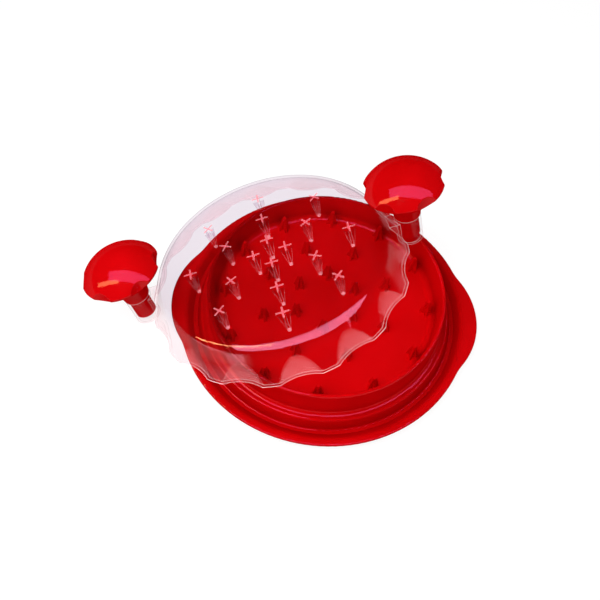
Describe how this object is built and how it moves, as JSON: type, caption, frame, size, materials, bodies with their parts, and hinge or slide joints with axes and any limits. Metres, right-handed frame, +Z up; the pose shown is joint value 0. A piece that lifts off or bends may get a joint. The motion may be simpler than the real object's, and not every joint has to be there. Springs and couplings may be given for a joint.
{
  "type": "twist meat shredder",
  "caption": "Round hand shredder: a deep-brimmed dish with upright spikes, and a clear fluted lid with downward spikes and a lobed knob plugged in at each side.",
  "frame": {"origin": "on the table, under the middle of the whole assembly's bounding box", "axes": "+X along the dish's two ears, towards the side that the lid leaves open; +Z up"},
  "size_m": [0.278, 0.2114, 0.1122],
  "materials": {
    "red_plastic": "glossy moulded",
    "clear_plastic": "clear glossy moulded",
    "rubber": "matt"
  },
  "bodies": {
    "base": {"base_dish": "red_plastic", "foot_pad_right": "rubber", "foot_pad_rear": "rubber", "foot_pad_left": "rubber", "foot_pad_front": "rubber"},
    "lid": {"lid_cover": "clear_plastic"},
    "left_knob": {"knob_left": "red_plastic"},
    "right_knob": {"knob_right": "red_plastic"}
  },
  "joints": [
    {"name": "lid_lift", "type": "slide", "parent": "base", "child": "lid", "axis": [0, 0, 1], "range_m": [0, 0.09]},
    {"name": "knob_left_pull", "type": "slide", "parent": "lid", "child": "left_knob", "axis": [-0.2722, 0.1111, 0.9558], "range_m": [0, 0.03]},
    {"name": "knob_right_pull", "type": "slide", "parent": "lid", "child": "right_knob", "axis": [-0.2722, 0.1111, 0.9558], "range_m": [0, 0.03]}
  ]
}
